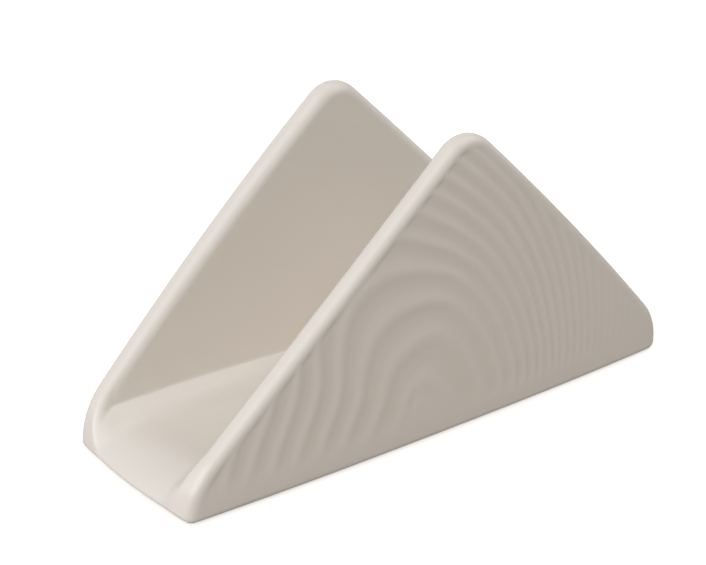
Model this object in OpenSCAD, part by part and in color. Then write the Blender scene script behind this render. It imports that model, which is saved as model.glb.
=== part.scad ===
// Napkin holder in glazed ceramic: a tray-like base and two leaning triangular walls.
// X runs along the holder, Y across it, and Z up from the table, in millimetres.
// The pieces are drawn straight and then bowed in plan by one function, so all of them stay flush.

/* [Overall] */
// Length at the ends' fullest point
length = 150; // [110:1:190]
// Width of the foot at mid length
foot_w = 47.8; // [44:0.1:70]
// Height from the table to the peaks
peak_h = 74; // [55:0.5:90]
// How far each end swells beyond its corners, seen from above
end_bow = 1.7; // [0:0.1:3]
// How far each long side swells at mid length, seen from above
side_bow = 1.6; // [0:0.1:3]

/* [Walls] */
// Thickness of a wall
wall_t = 5.6; // [5.3:0.1:7]
// Outward lean of a wall, in degrees
wall_lean = 1.7; // [0:0.1:6]
// How far a wall's outer face swells halfway up
face_bulge = 0.7; // [0:0.1:2]
// Radius of the peak, seen from the side
apex_r = 8.6; // [6:0.1:14]
// Radius of the gentle curve of a sloping rim, seen from the side
slope_r = 1500; // [500:50:5000]
// Radius where a sloping rim turns down into the foot, seen from the side
end_r = 20.2; // [12:0.1:24]
// Radius of a rim's outer edge
rim_edge_r = 2; // [0.8:0.1:2.2]
// Radius of a rim's softer inner edge
rim_roll_r = 2.8; // [1.5:0.1:3]
// Run of the cove between a wall and the floor, measured along the floor
cove_run = 5.5; // [3:0.1:7]
// Height above the floor at which the cove meets the wall in a fine crease
cove_h = 2.6; // [1.5:0.1:3]

/* [Base] */
// Height of the plain band round the foot, where the walls stand on the base
band_h = 4.5; // [3:0.1:6]
// Height of the floor inside
floor_h = 7.1; // [6.2:0.1:8.5]
// Radius at the corners of the foot, seen from above
corner_r = 3.9; // [2.5:0.1:6]
// Radius of the lower edge of the foot
foot_edge_r = 1.2; // [0.4:0.1:1.8]
// Width of the rim that the holder stands on
foot_rim_w = 5; // [3:0.1:8]
// Depth of the hollow underneath
hollow_h = 1.4; // [0.6:0.1:2.4]
// How far the floor rounds over at each open end
lip_run = 11; // [4:0.5:16]

/* [Ripples] */
// Depth of the troughs between two ripples
ripple_depth = 0.5; // [0.2:0.05:1]
// Number of ripples, counted from the eye outwards
ripple_count = 13; // [6:1:14]
// Distance from mid length to the eye that the ripples are nested round
eye_offset = 9.1; // [0:0.1:20]
// Height that the first ripples leave plain above the eye
eye_h = 25.4; // [15:0.1:35]
// Width that the first ripples leave plain on the eye's long side
eye_w = 21.5; // [15:0.1:35]
// Width that the first ripples leave plain on the eye's short side
eye_near_w = 3.2; // [0:0.1:8]
// Spacing of the ripples on the eye's short side
ripple_near = 6; // [5:0.1:8]
// Spacing of the ripples above the eye
ripple_up = 4.7; // [3:0.1:6]
// Spacing of the ripples on the eye's long side
ripple_far = 2.6; // [1.8:0.1:4]
// How far the short side's ripples splay out at their feet
splay = 6.6; // [0:0.1:9]
// Height above the band at which they begin to splay
splay_h = 18; // [8:0.5:30]
// Where the ripples begin to fade, from mid length towards the far end
fade_start = 12; // [5:1:30]
// Where the ripples have faded out
fade_end = 42; // [35:1:60]
// Plain margin over which the ripples rise from the band and the rim
ripple_margin = 1.2; // [0.8:0.1:4]

/* [Hidden] */
glaze = [0.92, 0.90, 0.86];

// Shares and counts that set how round the curves are and how full the arches stand.
near_fullness = 4.6;
far_fullness = 1.5;
eye_growth = 2.2;
rings_per_ripple = 4;
last_ripples = 1.5;
corner_steps = 4;
slope_steps = 22;
apex_steps = 3;
halvings = 14;
rim_steps = 3;
side_steps = 12;
end_steps = 6;
end_bow_power = 4;
side_bow_power = 2.5;
hollow_slope_share = 0.8;

half_l = length / 2 - end_bow;
half_w = foot_w / 2;
lean = tan(wall_lean);
seam = 0.05;
same = 0.001;

// Bow of the whole holder in plan: the long sides and the ends swell outwards.
function bow_y(x, y) = y * (1 - side_bow / half_w * pow(abs(x) / half_l, side_bow_power));
function bow_x(x, y) =
    x + sign(x) * end_bow * (1 - pow(y / half_w, 2)) * pow(abs(x) / half_l, end_bow_power);
function bowed(p) = [bow_x(p.x, p.y), bow_y(p.x, p.y), p.z];

// Half the holder's width over the outer faces, and half its length, at a height above the table.
function side_y(z) = half_w + lean * z + 4 * face_bulge * z / peak_h * (1 - z / peak_h);
function end_x(z) = half_l - end_r + sqrt(pow(end_r, 2) - pow(z, 2));

// A face keeps its corners that differ in place, and needs three of them.
function differs(points, a, b) = norm(points[a] - points[b]) > same;
function tidy_face(points, face) =
    [for (i = [0 : len(face) - 1])
        if (differs(points, face[i], face[(i + 1) % len(face)])) face[i]];
function tidy_faces(points, faces) =
    [for (face = faces)
        let (tidied = tidy_face(points, face))
            if (len(tidied) > 2) tidied];

// Two triangles for each cell between row a and row b, which start at index a and b.
function strip(a, b, count) =
    [for (i = [0 : count - 2], face = [[a + i, b + i + 1, a + i + 1], [a + i, b + i, b + i + 1]])
        face];

// Side view of a wall
// The rim runs over two end arcs, two gently curved slopes and the peak's arc, each tangent to
// the next. Each point holds its place and the outward normal there, listed from the far end
// over the peak to the near end.
end_centre = [half_l - end_r, 0];
apex_centre = [0, peak_h - apex_r];
span = apex_centre - end_centre;
to_end = slope_r - end_r;
to_apex = slope_r - apex_r;
// The centre of a slope's curve forms a triangle with the two other centres.
slope_turn = acos((pow(to_end, 2) + pow(norm(span), 2) - pow(to_apex, 2)) / (2 * to_end * norm(span)));
foot_normal = asin(band_h / end_r);
slope_start = atan2(span.y, span.x) + slope_turn - 180;
slope_centre = end_centre - to_end * [cos(slope_start), sin(slope_start)];
slope_stop = atan2(apex_centre.y - slope_centre.y, apex_centre.x - slope_centre.x);

function arc_point(centre, r, angle) =
    let (normal = [cos(angle), sin(angle)]) [centre + r * normal, normal];
function arc_run(centre, r, from, to, steps) =
    [for (i = [0 : steps - 1]) arc_point(centre, r, from + (to - from) * i / steps)];
function mirrored(station) =
    [[-station[0].x, station[0].y], [-station[1].x, station[1].y]];

far_rim = concat(
    arc_run(end_centre, end_r, foot_normal, slope_start, corner_steps),
    arc_run(slope_centre, slope_r, slope_start, slope_stop, slope_steps),
    arc_run(apex_centre, apex_r, slope_stop, 90, apex_steps));
peak = arc_point(apex_centre, apex_r, 90);
near_rim = [for (i = [len(far_rim) - 1 : -1 : 0]) mirrored(far_rim[i])];
rim = concat(far_rim, [peak], near_rim);
rim_count = len(rim);

// A point of the rim moved in by a distance. The two at the foot stay level with the joint.
function rim_in(i, distance) =
    let (place = rim[i][0], normal = rim[i][1])
    i == 0 || i == rim_count - 1
        ? [place.x - distance / normal.x, place.y]
        : place - distance * normal;

// Height of the floor at a distance from mid length: it rounds over into a lip at each end.
lip_x = end_x(floor_h) - lip_run;
lip_reach = end_x(band_h) - lip_x;
function lip_height(share) = band_h + (floor_h - band_h) * sqrt(1 - pow(share, 2));
function floor_at(x) = lip_height(max(0, min(1, (abs(x) - lip_x) / lip_reach)));

// Thickness of a wall: its foot flares into the cove, which leaves the floor smoothly and meets
// the wall at a crease. The joint with the floor is upright.
cove_r = (pow(cove_run, 2) + pow(cove_h, 2)) / (2 * cove_h);
cove_angle = acos(1 - cove_h / cove_r);
function flare(place) =
    let (above = place.y - floor_at(place.x))
    above <= 0 ? cove_run
        : above >= cove_h ? 0
            : cove_run - sqrt(pow(cove_r, 2) - pow(cove_r - above, 2));
function thickness(place) = wall_t + flare(place);
function roll_r(place) = max(rim_edge_r, rim_roll_r * (1 - flare(place) / cove_run));

// A point of a wall from its place in the side view and its depth behind the outer face.
function wall_point(place, depth) =
    bowed([place.x, depth - side_y(place.y), place.y]);

// Ripples
// They are arches nested round an eye on top of the band. Ripple k reaches a set distance to
// the near end, to the far end and upwards, and between these it follows a superellipse. On the
// near side its foot splays outwards.
eye = [-eye_offset, band_h];
function grown(k, spacing, plain) = spacing * k + plain * k * k / (k * k + eye_growth);
function splayed(h) = splay * pow(max(0, 1 - h / splay_h), 2);

// One for a place on ripple k, less for one inside it and more for one outside it.
function arch_share(k, offset) =
    let (is_far = offset.x > 0,
         across = is_far ? offset.x : max(0, -offset.x - splayed(offset.y)),
         reach = is_far ? grown(k, ripple_far, eye_w) : grown(k, ripple_near, eye_near_w),
         fullness = is_far ? far_fullness : near_fullness)
    pow(across / reach, fullness) + pow(offset.y / grown(k, ripple_up, eye_h), fullness);

// Distance from the eye at which a spoke meets ripple k, found by halving, or the whole spoke.
function arch_radius(k, direction, inner, outer, steps) =
    let (middle = (inner + outer) / 2)
    arch_share(k, outer * direction) < 1 ? outer
        : steps == 0 ? middle
            : arch_share(k, middle * direction) < 1
                ? arch_radius(k, direction, middle, outer, steps - 1)
                : arch_radius(k, direction, inner, middle, steps - 1);

function rise(value) = max(0, min(1, value));
function ripple(k, place, to_rim) =
    ripple_depth * (1 - cos(360 * k)) / 2
        * rise((fade_end - place.x) / (fade_end - fade_start))
        * rise((ripple_count - k) / last_ripples)
        * rise((place.y - band_h) / ripple_margin)
        * rise(to_rim / ripple_margin);

// The outer face is a fan of spokes from the eye to the rim, with rings on the ripples.
ring_count = (ripple_count - 1) * rings_per_ripple + 1;
function ring_k(j) = 1 / 2 + j / rings_per_ripple;
function spoke(i) =
    let (border = rim_in(i, rim_edge_r),
         along = border - eye,
         reach = norm(along),
         direction = [along.x, max(0, along.y)] / reach)
    [for (j = [0 : ring_count - 1])
        let (r = arch_radius(ring_k(j), direction, 0, reach, halvings),
             place = eye + r * direction)
            wall_point(place, ripple(ring_k(j), place, reach - r))];

// The rim's section, from the outer face over the outer edge and the softer one to the inner face.
function rim_section(i) =
    let (edge = [for (j = [0 : rim_steps])
            let (angle = 90 * j / rim_steps,
                 place = rim_in(i, rim_edge_r * (1 - sin(angle))))
                wall_point(place, rim_edge_r * (1 - cos(angle)))],
         roll = [for (j = [0 : rim_steps])
            let (angle = 90 * j / rim_steps,
                 r = roll_r(rim[i][0]),
                 place = rim_in(i, r * (1 - cos(angle))))
                wall_point(place, thickness(place) - r * (1 - sin(angle)))])
    concat(edge, roll);

// The inner face goes down in columns to the cove, the floor's joint and the wall's underside.
cove_rises = [for (j = [rim_steps : -1 : 0]) cove_r * (1 - cos(cove_angle * j / rim_steps))];
function column(i) =
    let (top = rim_in(i, roll_r(rim[i][0])),
         heights = concat([for (rise = cove_rises) floor_at(top.x) + rise], [band_h]))
    [for (z = heights)
        let (place = [top.x, min(top.y, z)]) wall_point(place, thickness(place))];

// One wall as one closed surface: each row of points runs from the eye out over the face,
// round the rim and down the inner face.
row_size = ring_count + 3 * (rim_steps + 1) + 1;
function wall_rows() = [for (i = [0 : rim_count - 1]) concat(spoke(i), rim_section(i), column(i))];

module wall() {
    points = concat([for (row = wall_rows(), p = row) p], [wall_point(eye, 0)]);
    eye_index = len(points) - 1;
    last_row = (rim_count - 1) * row_size;
    sheets = [for (i = [0 : rim_count - 2], face = strip(i * row_size, (i + 1) * row_size, row_size))
        face];
    fan = [for (i = [0 : rim_count - 2]) [eye_index, (i + 1) * row_size, i * row_size]];
    foot = concat(
        [eye_index],
        [for (j = [0 : row_size - 1]) j],
        [for (i = [1 : rim_count - 2]) i * row_size + row_size - 1],
        [for (j = [row_size - 1 : -1 : 0]) last_row + j]);
    polyhedron(points, tidy_faces(points, concat(fan, sheets, [foot])), convexity = 6);
}

// Base
// It is a stack of level loops, from the hollow underneath, round the foot and its plain band,
// in along the seats of the walls, and up the edge of the floor, which rounds over at the ends.
function seat_y(z) = side_y(z) - wall_t - cove_run - seam;
function loop_side(half_x, half_y, r) =
    concat(
        [for (i = [0 : end_steps - 1]) [half_x, (half_y - r) * (2 * i / end_steps - 1)]],
        [for (i = [0 : corner_steps - 1])
            [half_x - r, half_y - r]
                + r * [cos(90 * i / corner_steps), sin(90 * i / corner_steps)]],
        [for (i = [0 : side_steps - 1]) [(half_x - r) * (1 - 2 * i / side_steps), half_y]],
        [for (i = [0 : corner_steps - 1])
            [r - half_x, half_y - r]
                + r * [-sin(90 * i / corner_steps), cos(90 * i / corner_steps)]]);
function level_loop(half_x, half_y, r, z) =
    let (side = loop_side(half_x, half_y, r))
    [for (turn = [1, -1], p = side) bowed([turn * p.x, turn * p.y, z])];

hollow_in = foot_rim_w + hollow_h * hollow_slope_share;
levels = concat(
    [[half_l - hollow_in, half_w - hollow_in, corner_r, hollow_h],
     [half_l - foot_rim_w, half_w - foot_rim_w, corner_r, 0]],
    [for (j = [0 : rim_steps])
        let (angle = 90 * j / rim_steps, inset = foot_edge_r * (1 - sin(angle)))
            [half_l - inset, half_w - inset, corner_r - inset, foot_edge_r * (1 - cos(angle))]],
    [[end_x(band_h), side_y(band_h), rim_edge_r, band_h],
     [end_x(band_h), seat_y(band_h), 0, band_h]],
    [for (j = [1 : rim_steps])
        let (share = cos(90 * j / rim_steps), z = lip_height(share))
            [lip_x + lip_reach * share, seat_y(z), 0, z]]);

module base() {
    loops = [for (level = levels) level_loop(level[0], level[1], level[2], level[3])];
    size = len(loops[0]);
    points = [for (loop = loops, p = loop) p];
    bands = [for (j = [0 : len(loops) - 2], i = [0 : size - 1])
        let (a = j * size + i, b = j * size + (i + 1) % size)
            for (face = [[a, a + size, b + size], [a, b + size, b]]) face];
    underside = [for (i = [0 : size - 1]) i];
    floor_face = [for (i = [size - 1 : -1 : 0]) (len(loops) - 1) * size + i];
    color(glaze)
        polyhedron(points, tidy_faces(points, concat(bands, [underside, floor_face])), convexity = 6);
}

module front_wall() {
    color(glaze) wall();
}

module back_wall() {
    color(glaze) rotate([0, 0, 180]) wall();
}

base();
front_wall();
back_wall();
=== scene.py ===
"""Visual model of a glazed ceramic napkin holder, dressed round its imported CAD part.

The real holder is one cast body under one glaze. So one blank is cut from boxes, remeshed, and
settled onto the cast form that CastForm describes. It is then parted at the seats into the base
and the two walls that the CAD names, so that no joint shows where the real one has none.
Lengths are in metres. X runs along the holder, Y across it from front to back, and Z up.
"""

import logging
import math
from dataclasses import dataclass
from enum import Enum

import bpy
import numpy as np
from mathutils import Matrix, Vector


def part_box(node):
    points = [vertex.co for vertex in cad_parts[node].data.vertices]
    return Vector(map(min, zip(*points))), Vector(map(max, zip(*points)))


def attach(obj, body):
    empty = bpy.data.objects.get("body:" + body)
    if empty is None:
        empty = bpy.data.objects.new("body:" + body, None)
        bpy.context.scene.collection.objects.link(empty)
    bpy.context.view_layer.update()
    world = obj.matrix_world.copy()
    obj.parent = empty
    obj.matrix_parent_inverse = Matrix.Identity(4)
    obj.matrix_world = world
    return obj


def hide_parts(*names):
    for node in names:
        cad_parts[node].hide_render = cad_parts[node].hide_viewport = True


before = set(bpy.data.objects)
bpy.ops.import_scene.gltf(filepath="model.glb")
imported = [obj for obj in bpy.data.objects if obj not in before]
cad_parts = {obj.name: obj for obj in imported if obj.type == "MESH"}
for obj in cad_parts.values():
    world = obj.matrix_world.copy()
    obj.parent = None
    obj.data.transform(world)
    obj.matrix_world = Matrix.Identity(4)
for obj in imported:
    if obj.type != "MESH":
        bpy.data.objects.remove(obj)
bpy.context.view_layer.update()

BODY = "root"
WHITE = (1.0, 1.0, 1.0, 1.0)
CUT_SNAP = 1e-7

log = logging.getLogger("napkin_holder")


class Part(Enum):
    """A node of the CAD part, by the name that it has there."""

    BASE = "base"
    FRONT_WALL = "front_wall"
    BACK_WALL = "back_wall"


def smooth_step(value: np.ndarray) -> np.ndarray:
    """Returns 0 for values up to 0, 1 for values from 1 on, and a smooth rise between."""
    t = np.clip(value, 0.0, 1.0)
    return t * t * (3.0 - 2.0 * t)


def round_min(a: np.ndarray, b: np.ndarray, r: np.ndarray | float) -> np.ndarray:
    """Meets two faces of a solid in a rounded edge.

    Args:
        a: Depth below the first face.
        b: Depth below the second face.
        r: Radius of the edge between them.

    Returns:
        Depth below the rounded solid.
    """
    corner = (a < r) & (b < r)
    return np.where(corner, r - np.hypot(r - a, r - b), np.minimum(a, b))


def soft_max(a: np.ndarray, b: np.ndarray, r: np.ndarray | float) -> np.ndarray:
    """Joins two solids with a small fillet in the crease between them.

    Args:
        a: Depth below the first solid.
        b: Depth below the second solid.
        r: How far the fillet reaches.

    Returns:
        Depth below the joined solid.
    """
    return np.maximum(a, b) + np.maximum(r - np.abs(a - b), 0.0) ** 2 / (4.0 * r)


@dataclass(frozen=True)
class Spoke:
    """How the rings lie along one direction from the eye.

    Attributes:
        plain: Run that the first rings leave plain, over and above their spacing.
        spacing: Distance from one ring to the next.
    """

    plain: float
    spacing: float


@dataclass(frozen=True)
class RippleRelief:
    """Arches nested round an eye near the foot of a wall, like rings in raked sand.

    The rings cross spokes that fan out evenly from the right, over the top, to the left. The
    troughs are sunk by depth near the foot, and deepen by a share of it further up. They fade
    out towards the far end, at the foot, at the rim and on the first ring round the eye.
    """

    foot: float
    eye_x: float = -0.0084
    eye_z: float = 0.0063
    spokes: tuple[Spoke, ...] = (
        Spoke(0.0220, 0.0024),
        Spoke(0.0199, 0.0027),
        Spoke(0.0197, 0.0035),
        Spoke(0.0196, 0.0053),
        Spoke(-0.0055, 0.0121),
        Spoke(0.0058, 0.0064),
        Spoke(0.0073, 0.0061),
    )
    growth: float = 2.8
    most_rings: float = 30.0
    first_ring: float = 0.5
    sharpness: float = 1.4
    depth: float = 0.00033
    deepen: float = 0.50
    deepen_start: float = 0.015
    deepen_run: float = 0.030
    fade_start: float = 0.010
    fade_end: float = 0.070
    margin: float = 0.0015
    foot_fade: float = 0.0060
    halvings: int = 26

    def along_spokes(self, turn: np.ndarray, sizes: list[float]) -> np.ndarray:
        """Carries a size that each spoke has smoothly over the directions between them.

        Args:
            turn: Directions, from 0 on the right to pi on the left.
            sizes: The size at each spoke.

        Returns:
            The size in each direction.
        """
        last = len(sizes) - 1
        places = np.clip(turn / math.pi * last, 0.0, last - 1e-9)
        first = places.astype(int)
        u = places - first
        fan = np.array([sizes[1], *sizes, sizes[-2]])
        a, b, c, d = (fan[first + step] for step in range(4))
        bend = 2.0 * a - 5.0 * b + 4.0 * c - d
        return b + u * (c - a + u * (bend + u * (3.0 * (b - c) + d - a))) / 2.0

    def ring_at(self, x: np.ndarray, z: np.ndarray) -> np.ndarray:
        """Finds the ring on which places of a wall's face lie.

        Args:
            x: Distances along the holder.
            z: Heights above the table.

        Returns:
            The ring numbers, with their fractions.
        """
        across, up = x - self.eye_x, np.maximum(z - self.eye_z, 0.0)
        reach, turn = np.hypot(across, up), np.arctan2(up, across)
        plain = self.along_spokes(turn, [spoke.plain for spoke in self.spokes])
        spacing = self.along_spokes(turn, [spoke.spacing for spoke in self.spokes])
        low, high = np.zeros_like(reach), np.full_like(reach, self.most_rings)
        for _ in range(self.halvings):
            k = (low + high) / 2.0
            outside = spacing * k + plain * k * k / (k * k + self.growth) < reach
            low = np.where(outside, k, low)
            high = np.where(outside, high, k)
        return (low + high) / 2.0

    def trough(self, x: np.ndarray, z: np.ndarray, to_rim: np.ndarray) -> np.ndarray:
        """Finds how far the relief lies below the plain face.

        Args:
            x: Distances along the holder.
            z: Heights above the table.
            to_rim: Distances in from the rim.

        Returns:
            The depths in metres.
        """
        k = self.ring_at(x, z)
        wave = 1.0 - ((1.0 + np.cos(2.0 * np.pi * k)) / 2.0) ** self.sharpness
        wave *= smooth_step((k - self.first_ring) / self.first_ring)
        wave *= smooth_step((self.fade_end - x) / (self.fade_end - self.fade_start))
        wave *= smooth_step((z - self.foot) / self.foot_fade)
        wave *= 1.0 + self.deepen * smooth_step((z - self.deepen_start) / self.deepen_run)
        return self.depth * wave * smooth_step(to_rim / self.margin)


@dataclass(frozen=True)
class CastForm:
    """The holder's form, as a depth below the surface at any place, drawn before it is bowed.

    The cove is a slope between the floor and the crease where the wall's inner face starts. The
    crease rises towards the ends, and the wall flares a little above it. Close to the rim the
    crease softens. At each open end the floor rounds over into a lip, and up the walls the lip
    turns into the smaller roll of the rim's inner edge.
    """

    half_l: float
    peak_h: float
    band_h: float
    floor_h: float
    ripples: RippleRelief
    half_w: float = 0.0239
    end_bow: float = 0.0017
    end_bow_power: float = 4.0
    side_bow: float = 0.0016
    side_bow_power: float = 2.5
    wall_t: float = 0.0056
    lean: float = math.tan(math.radians(1.7))
    face_bulge: float = 0.0007
    apex_r: float = 0.0086
    slope_r: float = 1.5
    end_r: float = 0.0202
    edge_r: float = 0.0020
    roll_r: float = 0.0028
    corner_r: float = 0.0024
    corner_h: float = 0.008
    cove_run: float = 0.0055
    cove_h: float = 0.0026
    cove_rise: float = 0.0011
    cove_rise_start: float = 0.014
    cove_rise_run: float = 0.034
    cove_soft: float = 0.0016
    flare_h: float = 0.0045
    flare_t: float = 0.0003
    crease_soft: float = 0.0005
    end_soft: float = 0.0050
    end_soft_run: float = 0.0036
    lip_run: float = 0.011
    lip_drop: float = 0.0056
    lip_h: float = 0.012
    crease_fade: float = 0.0007
    cove_share: float = 0.65
    foot_edge_r: float = 0.0022
    foot_rim_w: float = 0.0050
    hollow_h: float = 0.0014
    hollow_slope: float = 0.8
    joint_y: float = 0.0128
    probe: float = 1e-5
    least_slope: float = 0.04
    unbow_steps: int = 12

    def side_y(self, z: np.ndarray | float) -> np.ndarray | float:
        """Returns half the width over the walls' outer faces at a height."""
        share = z / self.peak_h
        return self.half_w + self.lean * z + 4.0 * self.face_bulge * share * (1.0 - share)

    def arcs(self) -> tuple[np.ndarray, np.ndarray, np.ndarray, float, float]:
        """Lays out the rim's side view: an end arc, a long gentle arc and the peak's arc.

        Returns:
            The centres of the end's, the slope's and the peak's arc in X and Z, and the angles
            at which the slope's arc starts and stops.
        """
        end = np.array([self.half_l - self.end_r, 0.0])
        peak = np.array([0.0, self.peak_h - self.apex_r])
        span = peak - end
        to_end, to_peak = self.slope_r - self.end_r, self.slope_r - self.apex_r
        reach = math.hypot(*span)
        turn = math.acos((to_end**2 + reach**2 - to_peak**2) / (2.0 * to_end * reach))
        start = math.atan2(span[1], span[0]) + turn - math.pi
        slope = end - to_end * np.array([math.cos(start), math.sin(start)])
        stop = math.atan2(peak[1] - slope[1], peak[0] - slope[0])
        return end, slope, peak, start, stop

    def rim_depth(self, x: np.ndarray, z: np.ndarray) -> np.ndarray:
        """Finds how far places lie inside the rim's side view.

        Args:
            x: Distances along the holder.
            z: Heights above the table.

        Returns:
            The depths, which are negative outside.
        """
        end, slope, peak, start, stop = self.arcs()
        x, z = np.abs(x), np.maximum(z, 0.0)
        angle = np.arctan2(z - slope[1], x - slope[0])
        to_end = self.end_r - np.hypot(x - end[0], z - end[1])
        to_slope = self.slope_r - np.hypot(x - slope[0], z - slope[1])
        to_peak = self.apex_r - np.hypot(x - peak[0], z - peak[1])
        return np.where(angle < start, to_end, np.where(angle > stop, to_peak, to_slope))

    def channel_depth(self, p: np.ndarray, soft: np.ndarray) -> np.ndarray:
        """Finds how far places lie below the floor, the coves and the walls' inner faces.

        Args:
            p: Places, one a row.
            soft: How far the fillet reaches in the crease above the cove.

        Returns:
            The depths, which are negative in the room between the walls.
        """
        x, y, z = np.abs(p[:, 0]), np.abs(p[:, 1]), p[:, 2]
        inner = self.side_y(z) - self.wall_t
        rise = smooth_step((x - self.cove_rise_start) / self.cove_rise_run)
        cove_h = self.cove_h + self.cove_rise * rise
        above = z - self.floor_h
        slant = np.hypot(self.cove_run, cove_h)
        cove = ((y - inner + self.cove_run) * cove_h - above * self.cove_run) / slant
        flare = np.clip(1.0 - (above - cove_h) / self.flare_h, 0.0, 1.0)
        wall = y - inner + self.flare_t * flare**2
        return soft_max(wall, soft_max(cove, -above, self.cove_soft), soft)

    def hollow_depth(self, x: np.ndarray, y: np.ndarray, z: np.ndarray) -> np.ndarray:
        """Finds how far places lie above and outside the hollow underneath.

        Args:
            x: Distances along the holder.
            y: Distances across it.
            z: Heights above the table.

        Returns:
            The depths, which are negative in the hollow.
        """
        inset = self.foot_rim_w + self.hollow_slope * z
        along = np.abs(x) - (self.half_l - inset)
        across = np.abs(y) - (self.half_w - inset)
        wall = soft_max(along, across, self.corner_r)
        return soft_max(wall, z - self.hollow_h, self.crease_soft)

    def depth(self, p: np.ndarray, trough: np.ndarray | float) -> np.ndarray:
        """Finds how far places lie below the surface of the cast body.

        Args:
            p: Places, one a row.
            trough: How far the relief is sunk into the outer face there.

        Returns:
            The depths, which are negative outside. Near the surface they are true distances
            but for a scale.
        """
        x, y, z = p[:, 0], p[:, 1], p[:, 2]
        side = self.side_y(z) - trough - np.abs(y)
        rim = self.rim_depth(x, z)
        edge_r = self.edge_r + (self.corner_r - self.edge_r) * (1 - smooth_step(z / self.corner_h))
        outside = round_min(side, rim, edge_r)
        start = self.side_y(z) - self.wall_t - self.cove_run
        up_cove = np.clip((np.abs(y) - start) / (self.cove_run + self.crease_fade), 0.0, 1.0)
        up_wall = np.clip((z - self.floor_h) / self.lip_h, 0.0, 1.0)
        in_wall = smooth_step(self.cove_share * up_cove + (1.0 - self.cove_share) * up_wall)
        roll = self.lip_drop + (self.roll_r - self.lip_drop) * in_wall
        scale = self.lip_drop / self.lip_run * (1.0 - in_wall) + in_wall
        at_end = 1.0 - smooth_step(rim / self.end_soft_run)
        soft = self.crease_soft + (self.end_soft - self.crease_soft) * at_end
        inside = round_min(rim * scale, self.channel_depth(p, soft), roll)
        solid = round_min(np.minimum(outside, inside), z, self.foot_edge_r)
        return np.minimum(solid, self.hollow_depth(x, y, z))

    def trough(self, p: np.ndarray) -> np.ndarray:
        """Returns the relief's depth at places. The back's relief is the front's, turned round."""
        x = p[:, 0] * -np.sign(p[:, 1])
        return self.ripples.trough(x, p[:, 2], self.rim_depth(x, p[:, 2]) - self.edge_r)

    def slope_at(self, p: np.ndarray, trough: np.ndarray | None) -> np.ndarray:
        """Finds how the depth changes along X, Y and Z.

        Args:
            p: Places, one a row.
            trough: The relief's depth there, held, or None to let it change too.

        Returns:
            The gradients, one a row.
        """
        columns = []
        for axis in range(3):
            ends = []
            for sign in (1.0, -1.0):
                moved = p.copy()
                moved[:, axis] += sign * self.probe
                held = self.trough(moved) if trough is None else trough
                ends.append(self.depth(moved, held))
            columns.append((ends[0] - ends[1]) / (2.0 * self.probe))
        return np.stack(columns, axis=1)

    def settle(self, p: np.ndarray, steps: int, with_ripples: bool) -> np.ndarray:
        """Moves places onto the cast surface.

        Args:
            p: Places near the surface, one a row.
            steps: How often each is moved.
            with_ripples: Whether the relief is followed.

        Returns:
            The places on the surface.
        """
        for _ in range(steps):
            trough = self.trough(p) if with_ripples else np.zeros(len(p))
            slope = self.slope_at(p, trough)
            size = np.maximum((slope**2).sum(axis=1), self.least_slope)
            p = p - slope * (self.depth(p, trough) / size)[:, None]
        return p

    def bow(self, p: np.ndarray) -> np.ndarray:
        """Bows the sides and the ends outwards in plan.

        Args:
            p: Places on the form as drawn, one a row.

        Returns:
            Where they lie on the bowed holder.
        """
        x, y, z = p[:, 0], p[:, 1], p[:, 2]
        along = np.abs(x) / self.half_l
        swell = self.end_bow * (1.0 - (y / self.half_w) ** 2) * along**self.end_bow_power
        draw = 1.0 - self.side_bow / self.half_w * along**self.side_bow_power
        return np.stack([x + np.sign(x) * swell, y * draw, z], axis=1)

    def unbow(self, p: np.ndarray) -> np.ndarray:
        """Undoes the bow, step by step.

        Args:
            p: Places on the bowed holder, one a row.

        Returns:
            Where they lay on the form as drawn.
        """
        straight = p.copy()
        for _ in range(self.unbow_steps):
            straight += p - self.bow(straight)
        return straight

    def normals(self, p: np.ndarray) -> np.ndarray:
        """Finds the outward normals of the bowed surface.

        Args:
            p: Places on the surface before it is bowed, one a row.

        Returns:
            Unit normals at the bowed places, one a row.
        """
        slope = -self.slope_at(p, None)
        columns = []
        for axis in range(3):
            step = np.zeros(3)
            step[axis] = self.probe
            columns.append((self.bow(p + step) - self.bow(p - step)) / (2.0 * self.probe))
        stretch = np.stack(columns, axis=2)
        normals = np.linalg.solve(np.transpose(stretch, (0, 2, 1)), slope[:, :, None])[:, :, 0]
        return normals / np.linalg.norm(normals, axis=1)[:, None]


def deselect_all() -> None:
    """Leaves nothing selected, so that an operator acts on its own piece alone."""
    if bpy.context.object is not None and bpy.context.object.mode != "OBJECT":
        bpy.ops.object.mode_set(mode="OBJECT")
    bpy.ops.object.select_all(action="DESELECT")


def take_up(piece: bpy.types.Object) -> None:
    """Makes a piece the only selected and the active one.

    Args:
        piece: The piece to work on next.
    """
    deselect_all()
    piece.select_set(True)
    bpy.context.view_layer.objects.active = piece


def read_places(mesh: bpy.types.Mesh) -> np.ndarray:
    """Reads a mesh's vertices.

    Args:
        mesh: The mesh.

    Returns:
        Their places, one a row.
    """
    flat = np.empty(len(mesh.vertices) * 3)
    mesh.vertices.foreach_get("co", flat)
    return flat.reshape(-1, 3)


def write_places(mesh: bpy.types.Mesh, p: np.ndarray) -> None:
    """Puts a mesh's vertices at the places given, one a row."""
    mesh.vertices.foreach_set("co", p.ravel())
    mesh.update()


def add_box(name: str, low: Vector, high: Vector) -> bpy.types.Object:
    """Adds a box primitive and applies its size.

    Args:
        name: Name of the new object.
        low: Its lowest corner.
        high: Its highest corner.

    Returns:
        The box, with its place and size in its mesh.
    """
    deselect_all()
    bpy.ops.mesh.primitive_cube_add(size=1.0, location=(low + high) / 2.0)
    box = bpy.context.object
    box.name = box.data.name = name
    box.scale = high - low
    bpy.ops.object.transform_apply(location=True, rotation=True, scale=True)
    return box


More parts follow.
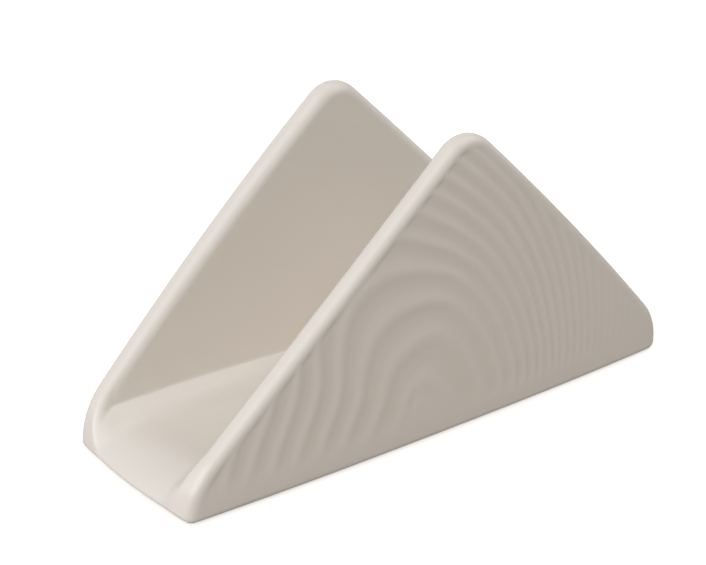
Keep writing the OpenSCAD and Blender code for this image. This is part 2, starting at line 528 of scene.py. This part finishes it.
def cut_away(piece: bpy.types.Object, cutter: bpy.types.Object) -> None:
    """Takes a cutter's solid out of a piece, and removes the cutter.

    Args:
        piece: The piece to cut.
        cutter: The closed solid that is taken away.
    """
    take_up(piece)
    boolean = piece.modifiers.new("cut", "BOOLEAN")
    boolean.operation = "DIFFERENCE"
    boolean.solver = "EXACT"
    boolean.object = cutter
    bpy.ops.object.modifier_apply(modifier=boolean.name)
    bpy.data.objects.remove(cutter)


def slice_off(piece: bpy.types.Object, place: Vector, outward: Vector) -> None:
    """Cuts a piece along a plane in edit mode, drops what is beyond it and closes the cut.

    Args:
        piece: The piece to cut.
        place: A point of the plane.
        outward: The plane's normal, towards what is dropped.
    """
    take_up(piece)
    bpy.ops.object.mode_set(mode="EDIT")
    bpy.ops.mesh.select_all(action="SELECT")
    bpy.ops.mesh.bisect(
        plane_co=place, plane_no=outward, use_fill=True, clear_outer=True, threshold=CUT_SNAP
    )
    bpy.ops.object.mode_set(mode="OBJECT")


@dataclass(frozen=True)
class Blank:
    """The rough body, cut from boxes, from which the cast form is finished.

    Once remeshed it is settled onto the plain form, evened out, settled again, and then settled
    onto the rippled form.
    """

    form: CastForm
    voxel: float = 0.00042
    facets: int = 4
    cove_facets: int = 2
    play: float = 0.010
    first_settling: int = 6
    even_rounds: int = 4
    even_share: float = 0.5
    second_settling: int = 5
    ripple_settling: int = 3

    def hull(self) -> bpy.types.Object:
        """Cuts the peaked outline from a box, by planes that touch the rim's arcs.

        Returns:
            The outline's solid, as wide as the walls are at the peaks.
        """
        form = self.form
        width = form.side_y(form.peak_h)
        low = Vector((-form.half_l, -width, 0.0))
        body = add_box("holder_blank", low, Vector((form.half_l, width, form.peak_h)))
        end, slope, peak, start, stop = form.arcs()
        runs = [
            (end, form.end_r, 0.0, start, self.facets),
            (peak, form.apex_r, stop, math.pi / 2.0, self.facets),
            (slope, form.slope_r, start, stop, 1),
        ]
        for centre, r, first, last, facets in runs:
            for step in range(facets):
                angle = first + (last - first) * (step + 0.5) / facets
                across, up = math.cos(angle), math.sin(angle)
                for sign in (1.0, -1.0):
                    place = Vector((sign * (centre[0] + r * across), 0.0, centre[1] + r * up))
                    slice_off(body, place, Vector((sign * across, 0.0, up)))
        return body

    def channel(self) -> bpy.types.Object:
        """Shapes the room between the walls: a box that widens upwards, with coved edges.

        Returns:
            The room's solid, which reaches past the ends and the peaks.
        """
        form = self.form
        inner = form.side_y(form.floor_h) - form.wall_t
        reach = form.half_l + self.play
        low = Vector((-reach, -inner, form.floor_h))
        room = add_box("channel_cutter", low, Vector((reach, inner, form.peak_h + self.play)))
        wider = (form.side_y(form.peak_h) - form.wall_t) / inner
        bpy.ops.object.mode_set(mode="EDIT")
        bpy.ops.mesh.select_mode(type="VERT")
        bpy.ops.mesh.select_all(action="DESELECT")
        bpy.ops.object.mode_set(mode="OBJECT")
        for vertex in room.data.vertices:
            vertex.select = vertex.co.z > form.peak_h
        bpy.ops.object.mode_set(mode="EDIT")
        bpy.ops.transform.resize(value=(1.0, wider, 1.0))
        bpy.ops.mesh.select_mode(type="EDGE")
        bpy.ops.mesh.select_all(action="DESELECT")
        bpy.ops.object.mode_set(mode="OBJECT")
        places = room.data.vertices
        for edge in room.data.edges:
            a, b = (places[i].co for i in edge.vertices)
            edge.select = abs(a.x - b.x) > form.half_l and max(a.z, b.z) < form.peak_h
        bpy.ops.object.mode_set(mode="EDIT")
        bpy.ops.mesh.bevel(offset=form.cove_h, segments=self.cove_facets, affect="EDGES")
        bpy.ops.object.mode_set(mode="OBJECT")
        return room

    def hollow(self) -> bpy.types.Object:
        """Shapes the hollow underneath.

        Returns:
            A box that fills it and reaches down past the foot.
        """
        form = self.form
        x, y = form.half_l - form.foot_rim_w, form.half_w - form.foot_rim_w
        low = Vector((-x, -y, -self.play))
        return add_box("hollow_cutter", low, Vector((x, y, form.hollow_h)))

    def make(self) -> bpy.types.Object:
        """Cuts, remeshes and settles the body.

        Returns:
            One closed mesh on the cast form, bowed in plan.
        """
        body = self.hull()
        cut_away(body, self.channel())
        cut_away(body, self.hollow())
        take_up(body)
        remesh = body.modifiers.new("even_mesh", "REMESH")
        remesh.mode = "VOXEL"
        remesh.voxel_size = self.voxel
        bpy.ops.object.modifier_apply(modifier=remesh.name)
        rough = read_places(body.data)
        write_places(body.data, self.form.settle(rough, self.first_settling, False))
        bpy.ops.object.mode_set(mode="EDIT")
        bpy.ops.mesh.select_all(action="SELECT")
        bpy.ops.mesh.vertices_smooth(factor=self.even_share, repeat=self.even_rounds)
        bpy.ops.object.mode_set(mode="OBJECT")
        even = read_places(body.data)
        write_places(body.data, self.form.settle(even, self.second_settling, False))
        plain = read_places(body.data)
        rippled = self.form.settle(plain, self.ripple_settling, True)
        write_places(body.data, self.form.bow(rippled))
        log.info("blank: %d faces", len(body.data.polygons))
        return body


@dataclass(frozen=True)
class GlazeFinish:
    """Warm white gloss glaze, a little deeper where it pools in the troughs.

    At the foot it thins out to the bare, wiped clay that it stands on, painted dark as contact
    shade.
    """

    name: str = "warm_white_glaze"
    colour: tuple[float, float, float, float] = (0.81, 0.76, 0.69, 1.0)
    pooled: tuple[float, float, float, float] = (0.785, 0.73, 0.65, 1.0)
    # Painted contact shade: the bare foot's clay is coloured dark to stand in for the shadow along
    # the bottom edge.
    shaded_bisque: tuple[float, float, float, float] = (0.50, 0.42, 0.35, 1.0)
    gloss_rough: float = 0.20
    bisque_rough: float = 0.75
    ior: float = 1.5
    foot_shade_line: float = 0.0013
    # Height up to which the bare foot and its painted contact shade reach.
    cloud_scale: float = 38.0
    cloud_detail: float = 2.0
    cloud_share: float = 0.35
    peel_scale: float = 260.0
    peel_detail: float = 1.0
    peel_height: float = 0.00002

    def tone_group(self) -> bpy.types.NodeTree:
        """Builds the group that lets the glaze's colour deepen where it pools.

        Returns:
            The node group, which puts out the colour.
        """
        group = bpy.data.node_groups.new("glaze_pooling", "ShaderNodeTree")
        face = group.interface
        face.new_socket("Thin", in_out="INPUT", socket_type="NodeSocketColor")
        face.new_socket("Pooled", in_out="INPUT", socket_type="NodeSocketColor")
        face.new_socket("Pool", in_out="INPUT", socket_type="NodeSocketFloat")
        face.new_socket("Color", in_out="OUTPUT", socket_type="NodeSocketColor")
        nodes, links = group.nodes, group.links
        source, result = nodes.new("NodeGroupInput"), nodes.new("NodeGroupOutput")
        place = nodes.new("ShaderNodeTexCoord")
        clouds = nodes.new("ShaderNodeTexNoise")
        clouds.inputs["Scale"].default_value = self.cloud_scale
        clouds.inputs["Detail"].default_value = self.cloud_detail
        total = nodes.new("ShaderNodeMath")
        total.operation = "MULTIPLY_ADD"
        total.use_clamp = True
        total.inputs[1].default_value = self.cloud_share
        mix = nodes.new("ShaderNodeMix")
        mix.data_type = "RGBA"
        links.new(place.outputs["Object"], clouds.inputs["Vector"])
        links.new(clouds.outputs["Fac"], total.inputs[0])
        links.new(source.outputs["Pool"], total.inputs[2])
        links.new(total.outputs[0], mix.inputs["Factor"])
        links.new(source.outputs["Thin"], mix.inputs["A"])
        links.new(source.outputs["Pooled"], mix.inputs["B"])
        links.new(mix.outputs["Result"], result.inputs["Color"])
        return group

    def foot_shade_group(self) -> bpy.types.NodeTree:
        """Builds the group that masks the wiped foot rim and the painted contact shade on it,
        towards which the glaze thins out.

        Returns:
            The node group, which puts out the mask.
        """
        group = bpy.data.node_groups.new("wiped_foot_shade", "ShaderNodeTree")
        face = group.interface
        face.new_socket("Line", in_out="INPUT", socket_type="NodeSocketFloat")
        face.new_socket("Mask", in_out="OUTPUT", socket_type="NodeSocketFloat")
        nodes, links = group.nodes, group.links
        source, result = nodes.new("NodeGroupInput"), nodes.new("NodeGroupOutput")
        place, parts = nodes.new("ShaderNodeTexCoord"), nodes.new("ShaderNodeSeparateXYZ")
        ramp = nodes.new("ShaderNodeMapRange")
        ramp.interpolation_type = "SMOOTHSTEP"
        ramp.inputs["From Max"].default_value = 0.0
        links.new(place.outputs["Object"], parts.inputs["Vector"])
        links.new(parts.outputs["Z"], ramp.inputs["Value"])
        links.new(source.outputs["Line"], ramp.inputs["From Min"])
        links.new(ramp.outputs["Result"], result.inputs["Mask"])
        return group

    def build(self) -> bpy.types.Material:
        """Puts the finish's nodes together.

        Returns:
            The material.
        """
        material = bpy.data.materials.new(self.name)
        material.use_nodes = True
        nodes, links = material.node_tree.nodes, material.node_tree.links
        shader = nodes["Principled BSDF"]
        pool = nodes.new("ShaderNodeAttribute")
        pool.attribute_name = "pool"
        tone = nodes.new("ShaderNodeGroup")
        tone.node_tree = self.tone_group()
        tone.inputs["Thin"].default_value = self.colour
        tone.inputs["Pooled"].default_value = self.pooled
        foot = nodes.new("ShaderNodeGroup")
        foot.node_tree = self.foot_shade_group()
        foot.inputs["Line"].default_value = self.foot_shade_line
        colour = nodes.new("ShaderNodeMix")
        colour.data_type = "RGBA"
        # The bare foot's colour, darkened as painted contact shade.
        colour.inputs["B"].default_value = self.shaded_bisque
        rough = nodes.new("ShaderNodeMapRange")
        rough.inputs["To Min"].default_value = self.gloss_rough
        rough.inputs["To Max"].default_value = self.bisque_rough
        place, peel = nodes.new("ShaderNodeTexCoord"), nodes.new("ShaderNodeTexNoise")
        peel.inputs["Scale"].default_value = self.peel_scale
        peel.inputs["Detail"].default_value = self.peel_detail
        bump = nodes.new("ShaderNodeBump")
        bump.inputs["Distance"].default_value = self.peel_height
        shader.inputs["IOR"].default_value = self.ior
        links.new(pool.outputs["Fac"], tone.inputs["Pool"])
        links.new(tone.outputs["Color"], colour.inputs["A"])
        links.new(foot.outputs["Mask"], colour.inputs["Factor"])
        links.new(foot.outputs["Mask"], rough.inputs["Value"])
        links.new(colour.outputs["Result"], shader.inputs["Base Color"])
        links.new(rough.outputs["Result"], shader.inputs["Roughness"])
        links.new(place.outputs["Object"], peel.inputs["Vector"])
        links.new(peel.outputs["Fac"], bump.inputs["Height"])
        links.new(bump.outputs["Normal"], shader.inputs["Normal"])
        return material


@dataclass(frozen=True)
class HolderBody:
    """The base and the two walls, parted from one blank at the seats."""

    form: CastForm
    finish: GlazeFinish
    flush: float = 1e-6

    def wall(self, blank: bpy.types.Object, part: Part, sign: float) -> bpy.types.Object:
        """Parts a wall from the blank.

        Args:
            blank: The whole body.
            part: Which wall it is.
            sign: On which side of the holder it stands, along Y.

        Returns:
            The wall, closed at its seats.
        """
        wall = self.copy_of(blank, part)
        slice_off(wall, Vector((0.0, 0.0, self.form.band_h)), Vector((0.0, 0.0, -1.0)))
        slice_off(wall, Vector((0.0, sign * self.form.joint_y, 0.0)), Vector((0.0, -sign, 0.0)))
        return wall

    def base(self, blank: bpy.types.Object) -> bpy.types.Object:
        """Parts the base from the blank by cutting away both walls.

        Args:
            blank: The whole body.

        Returns:
            The base, closed at the seats.
        """
        base = self.copy_of(blank, Part.BASE)
        far, top = self.form.half_l * 2.0, self.form.peak_h * 2.0
        inner, seat = self.form.joint_y, self.form.band_h
        front = add_box("front_cutter", Vector((-far, -far, seat)), Vector((far, -inner, top)))
        cut_away(base, front)
        back = add_box("back_cutter", Vector((-far, inner, seat)), Vector((far, far, top)))
        cut_away(base, back)
        return base

    def copy_of(self, blank: bpy.types.Object, part: Part) -> bpy.types.Object:
        """Copies the blank.

        Args:
            blank: The whole body.
            part: The CAD node that the copy is named for.

        Returns:
            The copy, with its own mesh.
        """
        piece = bpy.data.objects.new(f"{part.value}_glazed", blank.data.copy())
        piece.data.name = piece.name
        bpy.context.collection.objects.link(piece)
        return piece

    def seat_faces(self, mesh: bpy.types.Mesh, corners: np.ndarray) -> np.ndarray:
        """Tells which faces are cuts at the seats, which the other pieces cover.

        Args:
            mesh: A piece's mesh.
            corners: The vertex at each of its face corners.

        Returns:
            One truth value a face.
        """
        p = read_places(mesh)
        first = np.empty(len(mesh.polygons), int)
        mesh.polygons.foreach_get("loop_start", first)
        on_seat = np.abs(p[:, 2] - self.form.band_h) < self.flush
        on_joint = np.abs(np.abs(p[:, 1]) - self.form.joint_y) < self.flush
        return np.logical_or(
            np.logical_and.reduceat(on_seat[corners], first),
            np.logical_and.reduceat(on_joint[corners], first),
        )

    def finish_piece(self, piece: bpy.types.Object, part: Part, glaze: bpy.types.Material) -> None:
        """Gives a piece the cast form's own normals, dresses it and puts it in its place.

        Args:
            piece: The piece, parted from the blank.
            part: The CAD node that it stands for.
            glaze: The material.
        """
        mesh = piece.data
        p = self.form.unbow(read_places(mesh))
        normals = self.form.normals(p)
        corners = np.empty(len(mesh.loops), int)
        mesh.loops.foreach_get("vertex_index", corners)
        is_seat = self.seat_faces(mesh, corners)
        outside = normals[:, 1] * np.sign(p[:, 1])
        pool = self.form.trough(p) / self.form.ripples.depth * smooth_step(outside)
        mesh.polygons.foreach_set("use_smooth", np.ones(len(mesh.polygons), bool))
        loop_normals = normals[corners]
        for index in np.flatnonzero(is_seat):
            face = mesh.polygons[index]
            loop_normals[list(face.loop_indices)] = face.normal
        mesh.normals_split_custom_set(loop_normals.tolist())
        mesh.attributes.new("pool", "FLOAT", "POINT").data.foreach_set("value", pool)
        mesh.materials.clear()
        mesh.materials.append(glaze)
        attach(piece, BODY)
        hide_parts(part.value)
        log.info("%s: %d faces", piece.name, len(mesh.polygons))

    def build(self) -> None:
        """Makes the blank and parts it into the three pieces."""
        blank = Blank(self.form).make()
        glaze = self.finish.build()
        pieces = {
            Part.BASE: self.base(blank),
            Part.FRONT_WALL: self.wall(blank, Part.FRONT_WALL, -1.0),
            Part.BACK_WALL: self.wall(blank, Part.BACK_WALL, 1.0),
        }
        bpy.data.objects.remove(blank)
        for part, piece in pieces.items():
            self.finish_piece(piece, part, glaze)


@dataclass(frozen=True)
class SoftBox:
    """A soft lamp, turned towards the holder."""

    name: str
    place: tuple[float, float, float]
    width: float
    height: float
    power: float
    colour: tuple[float, float, float] = (1.0, 1.0, 1.0)

    def hang(self) -> None:
        """Hangs the lamp in its place."""
        data = bpy.data.lights.new(self.name, "AREA")
        data.shape = "RECTANGLE"
        data.size, data.size_y = self.width, self.height
        data.energy = self.power
        data.color = self.colour
        lamp = bpy.data.objects.new(self.name, data)
        bpy.context.collection.objects.link(lamp)
        lamp.location = Vector(self.place)
        lamp.rotation_euler = (-lamp.location).to_track_quat("-Z", "Y").to_euler()


@dataclass(frozen=True)
class Studio:
    """A white table top under large soft lamps, the strongest of them on the left.

    The table glows a little to the camera near the holder, so that it shows white and keeps the
    holder's shadow, and fully further away.
    """

    floor_size: float = 6.0
    floor_gap: float = 0.00002
    floor_colour: tuple[float, float, float, float] = (0.61, 0.585, 0.55, 1.0)
    floor_rough: float = 0.9
    floor_lift: float = 0.66
    lift_start: float = 0.14
    lift_end: float = 0.50
    sky_colour: tuple[float, float, float, float] = (1.0, 0.93, 0.88, 1.0)
    ambient: float = 0.195
    lamps: tuple[SoftBox, ...] = (
        SoftBox("left_box", (-0.952, -0.090, 0.292), 1.40, 0.58, 6.1, (0.94, 0.95, 1.0)),
        SoftBox("upper_left_box", (-0.640, -0.056, 0.766), 1.20, 0.90, 2.8, (0.97, 0.97, 1.0)),
        SoftBox("top_box", (0.416, -0.073, 0.906), 1.0, 1.0, 2.3),
        SoftBox("right_box", (0.58, -0.41, 0.71), 1.0, 0.80, 2.4),
    )

    def floor(self) -> None:
        """Lays the table top."""
        deselect_all()
        bpy.ops.mesh.primitive_plane_add(size=self.floor_size, location=(0, 0, -self.floor_gap))
        floor = bpy.context.object
        floor.name = floor.data.name = "table_top"
        material = bpy.data.materials.new("white_table_top")
        material.use_nodes = True
        nodes, links = material.node_tree.nodes, material.node_tree.links
        shader = nodes["Principled BSDF"]
        shader.inputs["Base Color"].default_value = self.floor_colour
        shader.inputs["Roughness"].default_value = self.floor_rough
        shader.inputs["Specular IOR Level"].default_value = 0.0
        shader.inputs["Emission Color"].default_value = WHITE
        place, away = nodes.new("ShaderNodeTexCoord"), nodes.new("ShaderNodeVectorMath")
        away.operation = "LENGTH"
        glow = nodes.new("ShaderNodeMapRange")
        glow.interpolation_type = "SMOOTHSTEP"
        glow.inputs["From Min"].default_value = self.lift_start
        glow.inputs["From Max"].default_value = self.lift_end
        glow.inputs["To Min"].default_value = self.floor_lift
        path, lift = nodes.new("ShaderNodeLightPath"), nodes.new("ShaderNodeMath")
        lift.operation = "MULTIPLY"
        links.new(place.outputs["Object"], away.inputs[0])
        links.new(away.outputs["Value"], glow.inputs["Value"])
        links.new(glow.outputs["Result"], lift.inputs[1])
        links.new(path.outputs["Is Camera Ray"], lift.inputs[0])
        links.new(lift.outputs[0], shader.inputs["Emission Strength"])
        floor.data.materials.append(material)

    def sky(self) -> None:
        """Lights the room evenly, and shows white to the camera and in reflections."""
        world = bpy.data.worlds.new("white_room")
        bpy.context.scene.world = world
        world.use_nodes = True
        nodes, links = world.node_tree.nodes, world.node_tree.links
        back = nodes["Background"]
        path = nodes.new("ShaderNodeLightPath")
        seen, clear = nodes.new("ShaderNodeMath"), nodes.new("ShaderNodeMath")
        seen.operation = clear.operation = "MAXIMUM"
        level = nodes.new("ShaderNodeMapRange")
        level.inputs["To Min"].default_value = self.ambient
        level.inputs["To Max"].default_value = 1.0
        tint = nodes.new("ShaderNodeMix")
        tint.data_type = "RGBA"
        tint.inputs["A"].default_value = self.sky_colour
        tint.inputs["B"].default_value = WHITE
        links.new(clear.outputs[0], tint.inputs["Factor"])
        links.new(tint.outputs["Result"], back.inputs["Color"])
        links.new(path.outputs["Is Camera Ray"], seen.inputs[0])
        links.new(path.outputs["Is Glossy Ray"], seen.inputs[1])
        links.new(seen.outputs[0], clear.inputs[0])
        links.new(path.outputs["Is Transmission Ray"], clear.inputs[1])
        links.new(clear.outputs[0], level.inputs["Value"])
        links.new(level.outputs["Result"], back.inputs["Strength"])

    def build(self) -> None:
        """Sets the stage and the view's plain colours."""
        self.floor()
        self.sky()
        for lamp in self.lamps:
            lamp.hang()
        bpy.context.scene.view_settings.view_transform = "Standard"


@dataclass(frozen=True)
class PhotoCamera:
    """The photograph's camera, as a place round the point that it is aimed at."""

    azimuth: float = math.radians(-39.556)
    elevation: float = math.radians(23.926)
    roll: float = math.radians(1.446)
    aim: tuple[float, float, float] = (-0.008507, 0.003600, 0.030933)
    distance: float = 0.406314
    lens: float = 87.353
    sensor: float = 36.0

    def build(self) -> None:
        """Places the camera and makes it the scene's own."""
        turn, lift = self.azimuth, self.elevation
        back = Vector(
            (math.sin(turn) * math.cos(lift), -math.cos(turn) * math.cos(lift), math.sin(lift))
        )
        level = Vector((0.0, 0.0, 1.0)).cross(back).normalized()
        above = back.cross(level)
        right = math.cos(self.roll) * level + math.sin(self.roll) * above
        up = math.cos(self.roll) * above - math.sin(self.roll) * level
        data = bpy.data.cameras.new("photo_camera")
        data.lens = self.lens
        data.sensor_width = self.sensor
        data.sensor_fit = "HORIZONTAL"
        camera = bpy.data.objects.new("photo_camera", data)
        bpy.context.collection.objects.link(camera)
        axes = Matrix((right, up, back)).transposed().to_4x4()
        camera.matrix_world = Matrix.Translation(Vector(self.aim) + self.distance * back) @ axes
        bpy.context.scene.camera = camera


def holder_form() -> CastForm:
    """Reads the driving sizes from the frame.

    Returns:
        The cast form in these sizes.
    """
    base_low, base_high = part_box(Part.BASE.value)
    wall_low, wall_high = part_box(Part.FRONT_WALL.value)
    return CastForm(
        half_l=base_high.x - CastForm.end_bow,
        peak_h=wall_high.z,
        band_h=wall_low.z,
        floor_h=base_high.z,
        ripples=RippleRelief(foot=wall_low.z),
    )


def main() -> None:
    """Builds the holder, then the studio and the camera."""
    logging.basicConfig(level=logging.INFO, format="%(name)s: %(message)s")
    HolderBody(holder_form(), GlazeFinish()).build()
    Studio().build()
    PhotoCamera().build()


if __name__ == "__main__":
    main()
